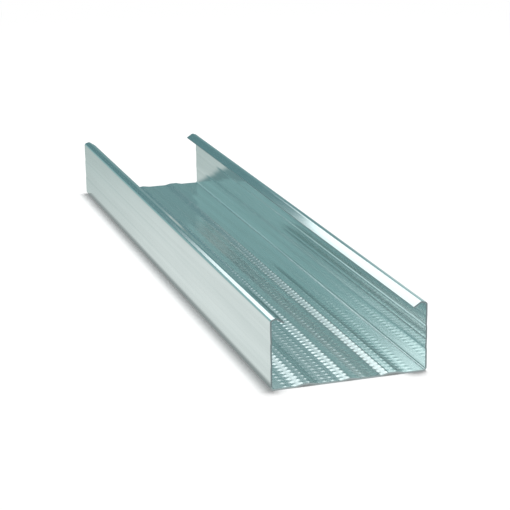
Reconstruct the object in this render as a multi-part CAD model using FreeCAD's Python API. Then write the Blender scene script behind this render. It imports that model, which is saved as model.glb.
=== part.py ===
import FreeCAD
import Part

import math
import os

# Ceiling channel, a lipped channel roll-formed from one strip of zinc-coated steel sheet.
# It lies on its web with the open side up. X runs across the web, Y along the length, Z up.
# The origin is under the middle of the web, halfway along the length. All sizes are in millimetres.

# Overall sizes
length = 300.0
web_width = 60.0
channel_height = 27.0
sheet_thickness = 0.6

# Bend between the web and a flange
corner_inside_radius = 0.8

# Shallow grooves along each flange, pressed in towards the channel
groove_lower_width = 0.9
groove_upper_width = 3.6
groove_depth = 0.13
lower_groove_height = 9.2
groove_spacing = 8.7
groove_root_radius = 0.5
groove_shoulder_inside_radius = 5.0

# Lip at the top of each flange: a roof that rises to a crest and falls to the free edge
lip_reach = 5.4
lip_crest_inset = 2.4
lip_rise_angle = 19.0
lip_fall_angle = 33.0
lip_root_inside_radius = 0.5
lip_crest_inside_radius = 0.6

# Beads along the web, pressed up into the channel
bead_inside_radius = 3.0
centre_bead_foot_width = 7.0
centre_bead_crown_width = 0.6
centre_bead_rise = 0.47
side_bead_inset = 13.5
side_bead_foot_width = 9.0
side_bead_crown_width = 3.0
side_bead_rise = 0.65


def section_point(across, up):
    """Point of the cross-section, in the plane of the near end."""
    return FreeCAD.Vector(across, -length / 2, up)


def outer_radius(inside_radius):
    """Radius of the outer face of a bend whose inner face has the given radius."""
    return inside_radius + sheet_thickness


def bead_bends(centre, foot_width, crown_width, rise):
    """Four bends of one bead, from left to right: foot, crown, crown, foot."""
    foot_radius = bead_inside_radius
    crown_radius = outer_radius(bead_inside_radius)
    return [
        (section_point(centre - foot_width / 2, 0), foot_radius),
        (section_point(centre - crown_width / 2, rise), crown_radius),
        (section_point(centre + crown_width / 2, rise), crown_radius),
        (section_point(centre + foot_width / 2, 0), foot_radius),
    ]


def groove_bends(height):
    """Three bends of one groove of the right-hand flange, from below: shoulder, root, shoulder."""
    flange_face = web_width / 2
    shoulder_radius = outer_radius(groove_shoulder_inside_radius)
    return [
        (section_point(flange_face, height - groove_lower_width), shoulder_radius),
        (section_point(flange_face - groove_depth, height), groove_root_radius),
        (section_point(flange_face, height + groove_upper_width), shoulder_radius),
    ]


def lip_bends():
    """Root, crest and free edge of the right-hand lip, on its upper face."""
    rise = math.radians(lip_rise_angle)
    fall = math.radians(lip_fall_angle)
    crest_radius = outer_radius(lip_crest_inside_radius)
    # The two slopes meet above the rounded crest, which itself is as high as the channel.
    peak_over_crest = crest_radius * ((math.sin(rise) + math.sin(fall)) / math.sin(rise + fall) - 1)
    peak = channel_height + peak_over_crest
    flange_face = web_width / 2
    root = section_point(flange_face, peak - lip_crest_inset * math.tan(rise))
    crest = section_point(flange_face - lip_crest_inset, peak)
    edge = section_point(flange_face - lip_reach, peak - (lip_reach - lip_crest_inset) * math.tan(fall))
    return [
        (root, outer_radius(lip_root_inside_radius)),
        (crest, crest_radius),
        (edge, 0),
    ]


def mirrored(bends):
    """The same bends on the left-hand side, in the opposite order."""
    return [(section_point(-point.x, point.z), radius) for point, radius in reversed(bends)]


def strip_bends():
    """Every bend of the strip's outer face, from the left free edge to the right one."""
    corner = (section_point(web_width / 2, 0), outer_radius(corner_inside_radius))
    side_bead = bead_bends(
        web_width / 2 - side_bead_inset, side_bead_foot_width, side_bead_crown_width, side_bead_rise)
    centre_bead = bead_bends(0, centre_bead_foot_width, centre_bead_crown_width, centre_bead_rise)
    grooves = groove_bends(lower_groove_height) + groove_bends(lower_groove_height + groove_spacing)
    right_half = side_bead + [corner] + grooves + lip_bends()
    return mirrored(right_half) + centre_bead + right_half


def bend_arc(before, corner, after, radius):
    """Start, middle and end of the arc that rounds a corner between two straight runs."""
    back = (before - corner).normalize()
    ahead = (after - corner).normalize()
    half_angle = back.getAngle(ahead) / 2
    tangent_reach = radius / math.tan(half_angle)
    inwards = (back + ahead).normalize()
    centre = corner + inwards * (radius / math.sin(half_angle))
    return corner + back * tangent_reach, centre - inwards * radius, corner + ahead * tangent_reach


def outer_face_wire(bends):
    """Straight runs joined by tangent arcs, along the strip's outer face."""
    edges = []
    run_start = bends[0][0]
    for before, (corner, radius), after in zip(bends, bends[1:], bends[2:]):
        arc_start, arc_middle, arc_end = bend_arc(before[0], corner, after[0], radius)
        edges.append(Part.LineSegment(run_start, arc_start).toShape())
        edges.append(Part.Arc(arc_start, arc_middle, arc_end).toShape())
        run_start = arc_end
    edges.append(Part.LineSegment(run_start, bends[-1][0]).toShape())
    return Part.Wire(edges)


def ceiling_channel():
    """Section of even sheet thickness, drawn out along the length."""
    outer_face = outer_face_wire(strip_bends())
    section = outer_face.makeOffset2D(sheet_thickness, fill=True, openResult=True)
    return section.extrude(FreeCAD.Vector(0, length, 0))


os.makedirs("parts", exist_ok=True)
channel = ceiling_channel()
channel.exportStep("parts/ceiling_channel.step")
box = channel.BoundBox
print("ceiling_channel", channel.ShapeType, "valid", channel.isValid(), "volume", round(channel.Volume, 1), "mm3")
print("box", [round(v, 3) for v in (box.XMin, box.XMax, box.YMin, box.YMax, box.ZMin, box.ZMax)])
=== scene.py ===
# %% [markdown]
# # A ceiling channel of zinc-coated steel
# The real object is a short length of lipped channel. A mill rolls it from one thin strip of steel:
# the strip's web is pressed into beads and dimples, its two sides are folded up, and their edges are
# folded in again as lips. This lesson forms the same strip in the same order, one step to a cell.
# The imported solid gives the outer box, and everything made here has to stay inside it.

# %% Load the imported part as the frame
import math

import bmesh
import bpy
from mathutils import Matrix, Vector


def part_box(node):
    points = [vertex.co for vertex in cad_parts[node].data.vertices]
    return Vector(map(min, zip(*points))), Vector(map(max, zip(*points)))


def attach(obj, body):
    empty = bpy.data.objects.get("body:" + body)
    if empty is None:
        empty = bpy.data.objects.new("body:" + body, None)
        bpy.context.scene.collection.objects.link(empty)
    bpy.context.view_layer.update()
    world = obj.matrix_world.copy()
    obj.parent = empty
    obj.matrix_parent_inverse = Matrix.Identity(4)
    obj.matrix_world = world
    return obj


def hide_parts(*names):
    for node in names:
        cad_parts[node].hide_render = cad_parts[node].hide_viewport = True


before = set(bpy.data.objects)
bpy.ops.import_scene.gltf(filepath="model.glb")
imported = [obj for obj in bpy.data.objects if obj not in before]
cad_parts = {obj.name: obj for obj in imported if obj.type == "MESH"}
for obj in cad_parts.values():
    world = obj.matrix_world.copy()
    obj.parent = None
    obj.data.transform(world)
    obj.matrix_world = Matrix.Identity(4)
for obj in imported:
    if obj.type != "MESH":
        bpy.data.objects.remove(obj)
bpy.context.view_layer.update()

channel_low, channel_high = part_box("ceiling_channel")
length = channel_high.y - channel_low.y
web_width = channel_high.x - channel_low.x
channel_height = channel_high.z
print("channel", round(web_width, 4), "wide", round(channel_height, 4), "high", round(length, 4), "long")

# %% [markdown]
# ## One dimple
# The web is knurled: small domes stand up on the inside of the channel, with dents under them, so
# that a screw's point doesn't wander. A bump texture would give the shading, but not the dotted
# outline along the cut end, nor the dents underneath. So one dimple is modelled as a real dome in
# the middle of its own small rectangle of sheet. It is repeated many hundred times, so it gets
# eight sides and two rings only.

# %% Model one dimple in its tile
mm = 0.001
dimple_columns = 17
dimple_rows = 91
dimple_pitch = 3.0 * mm
row_pitch = length / dimple_rows
dimple_sides = 8
dimple_radius = 0.9 * mm
dimple_height = 0.046 * mm
shoulder_radius = 0.52 * mm
ball_radius = (dimple_radius ** 2 + dimple_height ** 2) / (2 * dimple_height)
shoulder_drop = ball_radius - math.sqrt(ball_radius ** 2 - shoulder_radius ** 2)


def dimple_tile():
    """A dome with eight sides, and the flat sheet from its foot to the border of its rectangle."""
    tile = bmesh.new()
    bmesh.ops.create_circle(tile, cap_ends=True, radius=dimple_radius, segments=dimple_sides)
    dome = tile.faces[:]
    border = bmesh.ops.extrude_edge_only(tile, edges=tile.edges[:])["geom"]
    for corner in [part for part in border if isinstance(part, bmesh.types.BMVert)]:
        corner.co.x = dimple_pitch / 2 * round(corner.co.x / dimple_radius)
        corner.co.y = row_pitch / 2 * round(corner.co.y / dimple_radius)
    shoulder_width = (dimple_radius - shoulder_radius) * math.cos(math.pi / dimple_sides)
    bmesh.ops.inset_individual(tile, faces=dome, thickness=shoulder_width,
                               depth=dimple_height - shoulder_drop, use_even_offset=True)
    bmesh.ops.poke(tile, faces=dome, offset=shoulder_drop, center_mode="MEAN")
    return tile


strip = dimple_tile()
print("one dimple", len(strip.verts), "points", len(strip.faces), "faces")

# %% [markdown]
# ## The dimpled web
# An Array modifier could repeat the tile, but the flanges are folded up from the border of the same
# mesh, so the copies have to be real. Spin with no angle does that: it copies the shape and moves
# each copy on by one step. Two spins fill the web, and merging the doubled border points makes it
# one sheet.

# %% Repeat the dimple over the web
merge_distance = 0.001 * mm
sheet_thickness = 0.6 * mm


def repeat(sheet, copies, step):
    """Copies everything in the sheet, each copy one step further on."""
    everything = sheet.verts[:] + sheet.edges[:] + sheet.faces[:]
    bmesh.ops.spin(sheet, geom=everything, cent=(0, 0, 0), axis=(0, 0, 1), dvec=step,
                   angle=0.0, steps=copies - 1, use_duplicate=True)


repeat(strip, dimple_columns, (dimple_pitch, 0, 0))
repeat(strip, dimple_rows, (0, row_pitch, 0))
bmesh.ops.remove_doubles(strip, verts=strip.verts[:], dist=merge_distance)
first_across = (1 - dimple_columns) / 2 * dimple_pitch
first_along = (row_pitch - length) / 2
bmesh.ops.translate(strip, verts=strip.verts[:], vec=(first_across, first_along, sheet_thickness))
dimpled_half_width = dimple_columns * dimple_pitch / 2
print("web", dimple_columns * dimple_rows, "dimples", len(strip.faces), "faces")

# %% [markdown]
# ## The beads
# Three shallow beads stiffen the web along its length: a small one in the middle and a wider one at
# each side. They are low ridges with a flat crown and two even slopes. They could be folded as the
# flanges are, but then each dimple would have to be set on its slope by itself. Here the dimples go
# along: the whole sheet is lifted by a height that depends only on the place across the web. Before
# that it is cut along each fold and a little to both sides of it. The narrow faces between the cuts
# keep the smooth shading of the fold there, as round as the real fold, and the slopes stay flat.

# %% Press the beads into the web
centre_bead = {"middle": 0.0, "foot": 7.0 * mm, "crown": 0.6 * mm, "rise": 0.47 * mm}
side_bead = {"middle": 16.5 * mm, "foot": 9.0 * mm, "crown": 3.0 * mm, "rise": 0.65 * mm}
centre_fold_reach = 0.25 * mm
side_fold_reach = shoulder_radius * math.cos(math.pi / 4)
cut_snap = 0.03 * mm


def bead_folds(bead):
    """Places across the web of a bead's four folds, on both sides of the web."""
    from_middle = [end * bead[part] / 2 for part in ("foot", "crown") for end in (-1, 1)]
    return [side * (bead["middle"] + place) for place in from_middle for side in (-1, 1)]


def cut_folds(sheet, bead, reach):
    """Cuts the sheet along the folds of a bead, and to both sides of them where the round ends."""
    places = {fold + side * reach for fold in bead_folds(bead) for side in (-1, 0, 1)}
    for place in sorted(places):
        everything = sheet.verts[:] + sheet.edges[:] + sheet.faces[:]
        bmesh.ops.bisect_plane(sheet, geom=everything, dist=cut_snap,
                               plane_co=(place, 0, 0), plane_no=(1, 0, 0))


def bead_lift(across, bead):
    """Height of one bead at a place across the web: nothing at its foot, its full rise on its crown."""
    from_middle = abs(abs(across) - bead["middle"])
    up_the_slope = (bead["foot"] / 2 - from_middle) / ((bead["foot"] - bead["crown"]) / 2)
    return bead["rise"] * min(1.0, max(0.0, up_the_slope))


cut_folds(strip, centre_bead, centre_fold_reach)
cut_folds(strip, side_bead, side_fold_reach)
for point in strip.verts:
    point.co.z += bead_lift(point.co.x, centre_bead) + bead_lift(point.co.x, side_bead)
highest = max(point.co.z for point in strip.verts)
print("beads up to", round(highest / mm, 2), "mm", len(strip.faces), "faces")

# %% [markdown]
# ## The outline of a flange and its lip
# On the real strip, rollers press two shallow grooves into each side, fold the sides up and turn the
# edges in. A curve with this outline could be drawn out along the length in one go, but it would not
# share its border with the dimpled web. So the outer face of the right-hand side is written down as a
# list of sharp corners, each with the radius of its bend, and the border is then taken along it.

# %% Write down the outline of one side
half_width = web_width / 2
corner_inside_radius = 0.8 * mm
groove_lower_width = 0.9 * mm
groove_upper_width = 3.6 * mm
groove_depth = 0.13 * mm
lower_groove_height = 9.2 * mm
groove_spacing = 8.7 * mm
groove_root_radius = 0.5 * mm
groove_shoulder_inside_radius = 5.0 * mm
lip_reach = 5.4 * mm
lip_crest_inset = 2.4 * mm
lip_rise = math.radians(19)
lip_fall = math.radians(33)
lip_root_inside_radius = 0.5 * mm
lip_crest_inside_radius = 0.6 * mm

crest_outer_radius = lip_crest_inside_radius + sheet_thickness
sharp_crest = (math.sin(lip_rise) + math.sin(lip_fall)) / math.sin(lip_rise + lip_fall)
peak_height = channel_height + crest_outer_radius * (sharp_crest - 1)
root_height = peak_height - lip_crest_inset * math.tan(lip_rise)
edge_height = peak_height - (lip_reach - lip_crest_inset) * math.tan(lip_fall)


def groove(height):
    """Shoulder, root and shoulder of one groove, each with the smaller radius of its bend."""
    return [
        (Vector((half_width, height - groove_lower_width)), groove_shoulder_inside_radius),
        (Vector((half_width - groove_depth, height)), groove_root_radius),
        (Vector((half_width, height + groove_upper_width)), groove_shoulder_inside_radius),
    ]


side_outline = [
    (Vector((half_width, 0)), corner_inside_radius),
    *groove(lower_groove_height),
    *groove(lower_groove_height + groove_spacing),
    (Vector((half_width, root_height)), lip_root_inside_radius),
    (Vector((half_width - lip_crest_inset, peak_height)), lip_crest_inside_radius),
    (Vector((half_width - lip_reach, edge_height)), 0.0),
]
print("outline of a side", len(side_outline), "corners, crest at", round(peak_height / mm, 2), "mm")

# %% [markdown]
# ## Runs and bends
# Between two corners the sheet runs straight, and at each corner it goes round a roller. The border
# of the web goes the same way: a straight run is an extrusion of the border, and a bend is a spin
# about the axis of its roller. The flanges have no dimples, so the border is first joined into one
# long edge. A run gets a narrow face at each of its ends, so that the shading turns in the bend and
# not on the flat.

# %% A folder for the border of the strip
bend_step = math.radians(12)
fewest_steps = 2
end_share = 0.1
longest_end = 0.1 * mm


def far_edges(made):
    """The edges among what an operator made, which are the strip's new free border."""
    return [part for part in made if isinstance(part, bmesh.types.BMEdge)]


class Folder:
    """Draws the strip's border on, one straight run or bend at a time, on one side of the web."""

    def __init__(self, sheet, side):
        self.sheet = sheet
        self.side = side
        place = side * dimpled_half_width
        self.border = [edge for edge in sheet.edges if edge.is_boundary
                       and all(abs(point.co.x - place) < merge_distance for point in edge.verts)]

    def draw(self, step):
        """Moves the border straight on by one step, with a new row of faces behind it."""
        made = bmesh.ops.extrude_edge_only(self.sheet, edges=self.border)["geom"]
        new_points = [part for part in made if isinstance(part, bmesh.types.BMVert)]
        bmesh.ops.translate(self.sheet, verts=new_points, vec=(self.side * step.x, 0, step.y))
        self.border = far_edges(made)

    def join(self):
        """Makes one face of the row of faces along the border, and one edge of the border."""
        row = {edge.link_faces[0] for edge in self.border}
        inside = {edge for face in row for edge in face.edges if row.issuperset(edge.link_faces)}
        seams = [edge for edge in inside if len(edge.link_faces) == 2]
        bmesh.ops.dissolve_edges(self.sheet, edges=seams, use_verts=True)
        corner = max((point for edge in self.sheet.edges if edge.is_boundary for point in edge.verts),
                     key=lambda point: (round(self.side * point.co.x / merge_distance), point.co.y))
        self.border = [edge for edge in corner.link_edges
                       if abs(edge.other_vert(corner).co.x - corner.co.x) < merge_distance]

    def run(self, step):
        """One straight run, with a narrow row of faces at each of its ends."""
        end = step * min(end_share, longest_end / step.length)
        for part in (end, step - 2 * end, end):
            self.draw(part)

    def bend(self, heading, turn, radius):
        """One bend about its roller. The radius is the one on the inner side of the bend."""
        # A bend away from the channel has its roller on the outer side, one thickness further off.
        to_roller = radius if turn > 0 else -(radius + sheet_thickness)
        inwards = Vector((-self.side * heading.y, 0, heading.x))
        made = bmesh.ops.spin(
            self.sheet, geom=self.border, cent=self.border[0].verts[0].co + inwards * to_roller,
            axis=(0, -self.side, 0), dvec=(0, 0, 0), angle=turn, use_merge=False,
            steps=max(fewest_steps, round(abs(turn) / bend_step)))["geom_last"]
        self.border = far_edges(made)


print("bends in steps of about", round(math.degrees(bend_step)), "degrees")

# %% [markdown]
# ## Both sides
# The left side is the mirror image of the right one. A Mirror modifier could copy it, but the web
# already reaches to both sides. So the same list of corners is followed twice, once from each border
# of the web.

# %% Fold up both sides


def fold_side(sheet, side):
    """Follows the outline from the web to the free edge."""
    folder = Folder(sheet, side)
    heading = Vector((1, 0))
    folder.draw(heading * longest_end)
    folder.join()
    here = Vector((dimpled_half_width + longest_end, 0))
    for (corner, radius), (following, _) in zip(side_outline, side_outline[1:]):
        ahead = (following - corner).normalized()
        turn = -heading.angle_signed(ahead)
        outer_radius = radius + sheet_thickness if turn > 0 else radius
        reach = outer_radius * math.tan(abs(turn) / 2)
        folder.run(corner - heading * reach - here)
        folder.bend(heading, turn, radius)
        here = corner + ahead * reach
        heading = ahead
    folder.run(side_outline[-1][0] - here)


for side in (-1, 1):
    fold_side(strip, side)
print("folded strip", len(strip.faces), "faces")

# %% [markdown]
# ## The sheet's thickness
# So far the strip is a skin. The real sheet is 0.6 mm thick, and its cut ends show that. A Solidify
# modifier could add the thickness last of all, but the operator gives real faces at once, and those
# round the border can be picked out. All faces are first turned to the inside of the channel, because
# the wall grows away from the side that the faces point to. The new faces round the border are the
# sheared edges. They get the second material, and sharp edges, so that the smooth shading stops there.

# %% Thicken the strip
sharp_angle = math.radians(50)


def thicken(sheet):
    """Grows the wall on the outer side, trims the ends square and marks the sheared border."""
    bmesh.ops.recalc_face_normals(sheet, faces=sheet.faces[:])
    web_face = min(sheet.faces, key=lambda face: face.calc_center_median().length)
    if web_face.normal.z < 0:
        bmesh.ops.reverse_faces(sheet, faces=sheet.faces[:])
    inner_points = set(sheet.verts)
    bmesh.ops.solidify(sheet, geom=sheet.faces[:], thickness=sheet_thickness)
    for point in sheet.verts:
        point.co.y = min(channel_high.y, max(channel_low.y, point.co.y))
    sheet.normal_update()
    for face in sheet.faces:
        face.smooth = True
        on_inner_side = sum(point in inner_points for point in face.verts)
        face.material_index = int(0 < on_inner_side < len(face.verts))
    for edge in sheet.edges:
        edge.smooth = edge.calc_face_angle(0.0) < sharp_angle


thicken(strip)
strip_volume = strip.calc_volume(signed=True)
channel_mesh = bpy.data.meshes.new("ceiling_channel_dimpled")
strip.to_mesh(channel_mesh)
strip.free()
channel_mesh.calc_loop_triangles()
channel = bpy.data.objects.new("ceiling_channel_dimpled", channel_mesh)
bpy.context.collection.objects.link(channel)
print("thick strip", len(channel_mesh.loop_triangles), "triangles", round(strip_volume * 1e6, 2), "cm3")

# %% [markdown]
# ## Shader sums as plain Python
# Node trees get long when each sum is added by hand. This small class wraps an output socket, so
# that sums and products of sockets add their own Math nodes. Its node method adds any other node,
# and a few short methods give the nodes that the finishes below use again and again.

# %% A socket that can be added and multiplied


class Wire:
    """An output socket of a node tree. Arithmetic on it adds Math nodes to the same tree."""

    def __init__(self, tree, socket=None):
        self.tree = tree
        self.socket = socket

    def node(self, kind, settings, inputs, output=0):
        """Adds a node: its settings first, then the values or links of its sockets."""
        made = self.tree.nodes.new(kind)
        for name, value in settings.items():
            setattr(made, name, value)
        for name, value in inputs.items():
            if isinstance(value, Wire):
                self.tree.links.new(value.socket, made.inputs[name])
            else:
                made.inputs[name].default_value = value
        return Wire(self.tree, made.outputs[output] if made.outputs else None)

    def blend(self, share, first, second):
        """Mixes two colours."""
        return self.node("ShaderNodeMix", {"data_type": "RGBA"}, {
            "Factor": share, 6: first, 7: second}, 2)

    def between(self, value, limits):
        """Goes softly from 0 at the first limit to 1 at the second."""
        return self.node("ShaderNodeMapRange", {"interpolation_type": "SMOOTHSTEP"}, {
            "Value": value, "From Min": limits[0], "From Max": limits[1]})

    def maths(self, operation, first, second=0.0):
        """One Math node. Some operations, such as ABSOLUTE, use the first value only."""
        return self.node("ShaderNodeMath", {"operation": operation}, {0: first, 1: second})

    def axis(self, vector, name):
        """One coordinate of a vector."""
        return self.node("ShaderNodeSeparateXYZ", {}, {"Vector": vector}, name)

    def stretched(self, vector, along):
        """Coordinates for a pattern that is drawn out along the channel."""
        return self.node("ShaderNodeMapping", {}, {"Vector": vector, "Scale": (1, along, 1)})

    def noise(self, vector, scale, detail):
        """Soft noise from 0 to 1, mostly near the middle."""
        return self.node("ShaderNodeTexNoise", {}, {
            "Vector": vector, "Scale": scale, "Detail": detail}, "Fac")

    def ray(self, kind):
        """1 for the rays of one kind, such as those from the camera, and 0 for all others."""
        return self.node("ShaderNodeLightPath", {}, {}, kind)

    def __add__(self, other):
        return self.maths("ADD", self, other)

    def __sub__(self, other):
        return self.maths("SUBTRACT", self, other)

    def __rsub__(self, other):
        return self.maths("SUBTRACT", other, self)

    def __mul__(self, other):
        return self.maths("MULTIPLY", self, other)

    __radd__ = __add__
    __rmul__ = __mul__


def emptied_tree(owner):
    """Clears the node tree of a material or a world, and gives a wire to build it with."""
    owner.use_nodes = True
    owner.node_tree.nodes.clear()
    return Wire(owner.node_tree)


print("socket class ready")

# %% [markdown]
# ## The zinc coat
# The strip comes from a zinc bath and through rolls, so its coat is a soft mirror: pale, a little
# blue-green, with fine streaks and wider bands along the rolling direction, and cloudy patches where
# the zinc is duller. A painted texture would have to be unwrapped round every bend. Noise on the
# object's own coordinates fits the folded sheet as it is. For streaks and bands these coordinates are
# squeezed along the length. All three vary the roughness and the colour a little. The knurling rolls
# leave the web duller than the flanges. A very low bump bends the reflections as on thin sheet.

# %% Make the zinc finish
zinc_pale = (0.705, 0.77, 0.765, 1)
zinc_dull = (0.565, 0.63, 0.625, 1)
rolled_stretch = 0.02
streak_scale, streak_detail, streak_share = 900.0, 3.0, 0.3
band_scale, band_detail, band_share = 240.0, 2.0, 0.4
band_contrast = (0.35, 0.65)
cloud_scale, cloud_detail, cloud_share = 45.0, 4.0, 0.3
middle_dullness = 0.5
web_roughness = 0.165
side_roughness = 0.10
roughness_change = 0.08
knurled_web = (1.5 * mm, 3.0 * mm)
buckle_scale, buckle_detail, buckle_stretch = 28.0, 1.0, 0.35
buckle_depth = 0.2 * mm


def zinc_coat():
    """Rolled zinc: a metal with streaked, cloudy roughness and slightly uneven reflections."""
    material = bpy.data.materials.new("zinc_coat")
    tree = emptied_tree(material)
    place = tree.node("ShaderNodeTexCoord", {}, {}, "Object")
    rolled = tree.stretched(place, rolled_stretch)
    streaks = tree.noise(rolled, streak_scale, streak_detail)
    clouds = tree.noise(place, cloud_scale, cloud_detail)
    bands = tree.between(tree.noise(rolled, band_scale, band_detail), band_contrast)
    dullness = streaks * streak_share + clouds * cloud_share + bands * band_share
    colour = tree.blend(dullness, zinc_pale, zinc_dull)
    polish = tree.between(tree.axis(place, "Z"), knurled_web)
    roughness = web_roughness - polish * (web_roughness - side_roughness)
    roughness = roughness + (dullness - middle_dullness) * roughness_change
    buckles = tree.noise(tree.stretched(place, buckle_stretch), buckle_scale, buckle_detail)
    uneven = tree.node("ShaderNodeBump", {}, {
        "Height": buckles, "Distance": buckle_depth, "Strength": 1.0})
    shader = tree.node("ShaderNodeBsdfPrincipled", {}, {
        "Base Color": colour, "Metallic": 1.0, "Roughness": roughness, "Normal": uneven})
    tree.node("ShaderNodeOutputMaterial", {}, {"Surface": shader})
    return material


zinc = zinc_coat()
print("finish", zinc.name, len(zinc.node_tree.nodes), "nodes")

# %% [markdown]
# ## The sheared edges
# Where the strip was slit and the channel cut off, the steel under the zinc shows as a thin grey
# line. It is duller and darker than the coat, with fine marks from the shear. Low down, along the
# web, the cut is painted paler: a painted highlight. The line could be a thin strip of its own,
# but the border faces of the thick sheet are there already and only need another finish.

# %% Make the sheared edge finish
steel_grey = (0.29, 0.35, 0.36, 1)
steel_dark = (0.16, 0.20, 0.21, 1)
# Painted highlight: the cut is paler below this height band, along the web.
painted_edge_highlight = (0.39, 0.45, 0.46, 1)
highlight_height = (0.9 * mm, 1.8 * mm)
shear_mark_scale, shear_mark_detail = 2500.0, 2.0
shear_roughness = 0.3
shear_mark_roughness = 0.2


def sheared_edge():
    """Bare cut steel with fine shear marks, and a painted highlight low down along the web."""
    material = bpy.data.materials.new("sheared_edge")
    tree = emptied_tree(material)
    place = tree.node("ShaderNodeTexCoord", {}, {}, "Object")
    marks = tree.noise(place, shear_mark_scale, shear_mark_detail)
    bare = tree.blend(marks, steel_grey, steel_dark)
    # Painted highlight: paler colour on the cut below the height band.
    colour = tree.blend(tree.between(tree.axis(place, "Z"), highlight_height), painted_edge_highlight, bare)
    roughness = shear_roughness + marks * shear_mark_roughness
    shader = tree.node("ShaderNodeBsdfPrincipled", {}, {
        "Base Color": colour, "Metallic": 1.0, "Roughness": roughness})
    tree.node("ShaderNodeOutputMaterial", {}, {"Surface": shader})
    return material


channel_mesh.materials.append(zinc)
channel_mesh.materials.append(sheared_edge())
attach(channel, "root")
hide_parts("ceiling_channel")
print("channel has", [material.name for material in channel_mesh.materials])

# %% [markdown]
# ## The camera
# The picture was taken from above the near end, a little to the left, with a long lens. The camera
# could be set by eye, but every reflection depends on it. So its place and angles come from fitting a
# camera to the corners of the channel.

# %% Place the camera
camera_place = Vector((-204.17, -677.05, 215.67)) * mm
camera_azimuth = math.radians(-17.783)
camera_elevation = math.radians(16.576)
camera_roll = math.radians(-0.826)
camera_lens = 118.15
camera_sensor = 36.0


def camera_axes():
    """The camera's right, up and backward directions, as columns of its matrix."""
    back = Vector((math.sin(camera_azimuth) * math.cos(camera_elevation),
                   -math.cos(camera_azimuth) * math.cos(camera_elevation),
                   math.sin(camera_elevation)))
    level = Vector((0, 0, 1)).cross(back).normalized()
    right = Matrix.Rotation(camera_roll, 3, back) @ level
    return Matrix((right, back.cross(right), back)).transposed()


camera = bpy.data.objects.new("camera", bpy.data.cameras.new("camera"))
camera.data.lens = camera_lens
camera.data.sensor_width = camera_sensor
camera.matrix_world = Matrix.Translation(camera_place) @ camera_axes().to_4x4()
bpy.context.collection.objects.link(camera)
bpy.context.scene.camera = camera
print("camera", [round(value, 3) for value in camera.location])

# %% [markdown]
# ## The floor in reflections
# Shiny metal shows the floor it stands on. In a light tent that floor is pale. A tent could be built
# of white cloth, but a floor colour that only reflections see is easier to place. It has a touch of
# the room's colour, which grows towards the back, and a painted contact shadow: a dark line along
# the channel's foot. Two patches of painted shade lie behind the far end. One is a wedge that widens
# away from the right flange and trims the pale reflection of the floor at the end of that flange. The
# other is further off on the right, and keeps a pale line off the left lip.

# %% Colour the floor for reflections
mirrored_near = (0.88, 0.92, 0.905, 1)
mirrored_far = (0.55, 0.637, 0.623, 1)
mirrored_change = (-0.05, 0.28)
# Painted contact shadow: the floor in reflections turns dark along the channel's foot.
painted_foot_shadow = (0.34, 0.37, 0.37, 1)
foot_shade = (1.5 * mm, 3.2 * mm)
past_the_end = 20.0
# Painted shade: dark blue-green patches on the floor in reflections, behind the far end.
mirrored_shade = (0.20, 0.33, 0.34, 1)
wedge_start = (-2 * mm, 0.0)
wedge_side = (0.0, -2 * mm)
wedge_edge = (-5 * mm, 5 * mm)
wedge_spread = 1.2
far_shade_side = (30 * mm, 36 * mm)
far_shade_start = (40 * mm, 55 * mm)


def floor_in_reflections(tree, place):
    """Pale floor, with painted shade behind the channel's far end and a painted contact shadow along its
    foot.
    """
    across = tree.axis(place, "X")
    along = tree.axis(place, "Y")
    beside = tree.maths("ABSOLUTE", across) - half_width
    behind = along - length / 2
    # Painted shade behind the far end: a wedge away from the right flange, and a patch further right.
    wedge = tree.between((half_width - across) * wedge_spread - behind, wedge_edge)
    wedge = wedge * tree.between(beside, wedge_side) * tree.between(behind, wedge_start)
    far_shade = tree.between(across, far_shade_side) * tree.between(behind, far_shade_start)
    open_floor = tree.blend(tree.between(along, mirrored_change), mirrored_near, mirrored_far)
    open_floor = tree.blend(wedge + far_shade, open_floor, mirrored_shade)
    # Painted contact shadow: dark floor colour for reflections close along the channel's foot.
    beyond = (tree.maths("ABSOLUTE", along) - length / 2) * past_the_end
    from_foot = tree.maths("MAXIMUM", beside, beyond)
    return tree.blend(tree.between(from_foot, foot_shade), painted_foot_shadow, open_floor)


print("floor in reflections from", mirrored_near[:3], "to", mirrored_far[:3])

# %% [markdown]
# ## The floor
# A plain white floor reaches past the picture on every side. Its paint is nearly white. The camera
# sees a little glow added to it, so that the lit floor is just white while the shadow stays grey, and
# it sees plain white further off, where the lamp no longer reaches.

# %% Make the floor
floor_size = 12.0
floor_gap = 0.02 * mm
plain_white = (1, 1, 1, 1)
floor_paint = (0.88, 0.88, 0.88, 1)
floor_glow = 0.10
white_from = (0.35, 0.8)


def white_floor():
    """White paint with a little glow for the camera, and a colour of its own for reflections."""
    material = bpy.data.materials.new("white_floor")
    tree = emptied_tree(material)
    place = tree.node("ShaderNodeTexCoord", {}, {}, "Object")
    seen = tree.ray("Is Camera Ray")
    paint = tree.node("ShaderNodeBsdfDiffuse", {}, {"Color": floor_paint})
    glow = tree.node("ShaderNodeEmission", {}, {"Strength": seen * floor_glow})
    lit = tree.node("ShaderNodeAddShader", {}, {0: paint, 1: glow})
    reflected = tree.node("ShaderNodeEmission", {}, {
        "Color": floor_in_reflections(tree, place), "Strength": 1.0})
    near = tree.node("ShaderNodeMixShader", {}, {0: tree.ray("Is Glossy Ray"), 1: lit, 2: reflected})
    from_middle = tree.node("ShaderNodeVectorMath", {"operation": "LENGTH"}, {0: place}, "Value")
    far_off = tree.between(from_middle, white_from) * seen
    backdrop = tree.node("ShaderNodeEmission", {}, {"Color": plain_white, "Strength": 1.0})
    whole = tree.node("ShaderNodeMixShader", {}, {0: far_off, 1: near, 2: backdrop})
    tree.node("ShaderNodeOutputMaterial", {}, {"Surface": whole})
    return material


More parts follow.
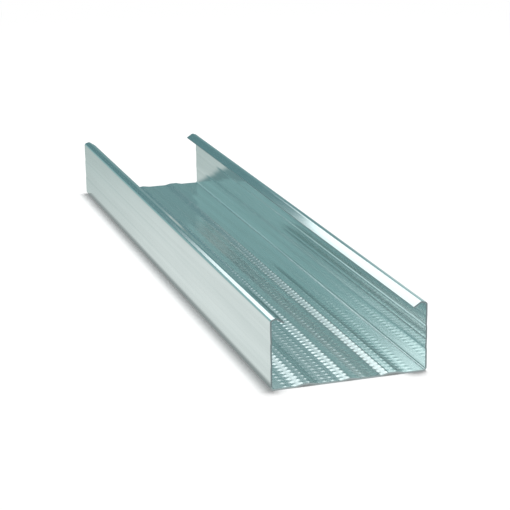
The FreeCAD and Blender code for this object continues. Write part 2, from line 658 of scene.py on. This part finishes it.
floor_shape = bmesh.new()
bmesh.ops.create_grid(floor_shape, x_segments=1, y_segments=1, size=floor_size / 2)
bmesh.ops.translate(floor_shape, verts=floor_shape.verts[:], vec=(0, 0, -floor_gap))
floor_mesh = bpy.data.meshes.new("floor")
floor_shape.to_mesh(floor_mesh)
floor_shape.free()
floor_mesh.materials.append(white_floor())
floor = bpy.data.objects.new("floor", floor_mesh)
bpy.context.collection.objects.link(floor)
print("floor", floor_size, "m across")

# %% [markdown]
# ## The lamps
# Polished metal shows its surroundings, so the lamps are placed for what they look like in the
# sheet as much as for the light they give. One big bright dome would be simpler, but separate lamps
# can be moved until each reflection sits in its place. Three soft boxes stand in a row behind and
# above the channel. The lips, the left slopes of the beads and the sides of the dimples mirror them
# and come out white. Light from the left box also reaches the camera by two reflections, in the web
# and in the right flange, and makes the foot of that flange pale. A lamp high up on the right throws
# the short soft shadow. It is for the floor, and doesn't show in the metal.

# %% Place the lamps
box_distance = 2.2
box_height = 1.2
box_radiance = 1.35
left_box_radiance = 1.45
middle_box_roll = math.radians(9)
key_place = (0.27, 0.15, 3.0)
key_size = (0.6, 0.6)
key_radiance = 66.0


def soft_box(name, place, facing, size, radiance, roll=0.0):
    """A rectangular lamp that faces a point. Its power follows from its size and brightness."""
    data = bpy.data.lights.new(name, "AREA")
    data.shape = "RECTANGLE"
    data.size, data.size_y = size
    data.energy = radiance * math.pi * size[0] * size[1]
    lamp = bpy.data.objects.new(name, data)
    turned = (Vector(place) - Vector(facing)).to_track_quat("Z", "Y").to_matrix()
    lamp.matrix_world = Matrix.Translation(place) @ (turned @ Matrix.Rotation(roll, 3, "Z")).to_4x4()
    lamp.visible_camera = False
    bpy.context.collection.objects.link(lamp)
    return lamp


def back_box(name, across, up, width, radiance, roll=0.0):
    """One of the soft boxes behind the channel, which faces straight forward."""
    soft_box(name, (across, box_distance, up), (across, 0, up), (width, box_height), radiance, roll)


back_box("right_box", 0.70, 1.735, 1.0, box_radiance)
back_box("middle_box", -0.11, 1.60, 0.62, box_radiance, middle_box_roll)
back_box("left_box", -1.55, 1.49, 1.3, left_box_radiance)
key = soft_box("key", key_place, (0, 0, 0), key_size, key_radiance)
key.visible_glossy = False

# %% [markdown]
# ## The room
# Below the boxes the dim blue-green room shows, and that is the colour of the flat web. One even grey
# would be simpler, but the web would lose that colour. The walls at both sides are paler, so that the
# right slopes of the beads don't go black. Overhead and in front the room is pale, so that the channel
# looks like zinc from its other sides too. The floor gets plain grey light from the room. The room is
# not sampled as a lamp, because it has another colour for reflections than for the floor. The camera
# sees plain white behind everything.

# %% Paint the room
room_left = (0.36, 0.58, 0.59, 1)
room_middle = (0.15, 0.29, 0.31, 1)
room_right = (0.20, 0.35, 0.36, 1)
room_wall = (0.62, 0.80, 0.81, 1)
room_pale = (0.90, 0.94, 0.94, 1)
room_shade = (0.40, 0.46, 0.46, 1)
room_grey = (0.22, 0.22, 0.22, 1)
left_part = (-0.26, -0.14)
right_part = (0.14, 0.27)
wall_part = (0.41, 0.50)
front_part = (0.3, -0.2)
overhead_part = (0.45, 0.85)
pale_change = (-0.4, 0.4)


def room_in_reflections(tree, direction):
    """Blue-green, darkest in the middle, paler at the sides, and pale overhead and in front."""
    across = tree.axis(direction, "X")
    back = tree.blend(tree.between(across, left_part), room_left, room_middle)
    back = tree.blend(tree.between(across, right_part), back, room_right)
    sideways = tree.maths("ABSOLUTE", across)
    back = tree.blend(tree.between(sideways, wall_part), back, room_wall)
    in_front = tree.between(tree.axis(direction, "Y"), front_part)
    overhead = tree.between(tree.axis(direction, "Z"), overhead_part)
    pale = tree.blend(tree.between(across, pale_change), room_shade, room_pale)
    return tree.blend(tree.maths("MAXIMUM", in_front, overhead), back, pale)


def room_light():
    """The room for reflections, plain white for the camera and plain grey for the rest."""
    world = bpy.data.worlds.new("room")
    world.cycles.sampling_method = "NONE"
    tree = emptied_tree(world)
    direction = tree.node("ShaderNodeTexCoord", {}, {}, "Generated")
    reflected = room_in_reflections(tree, direction)
    colour = tree.blend(tree.ray("Is Glossy Ray"), room_grey, reflected)
    colour = tree.blend(tree.ray("Is Camera Ray"), colour, plain_white)
    background = tree.node("ShaderNodeBackground", {}, {"Color": colour})
    tree.node("ShaderNodeOutputWorld", {}, {"Surface": background})
    return world


bpy.context.scene.world = room_light()
bpy.context.scene.view_settings.view_transform = "Standard"
print("room", bpy.context.scene.world.name, len(bpy.context.scene.world.node_tree.nodes), "nodes")
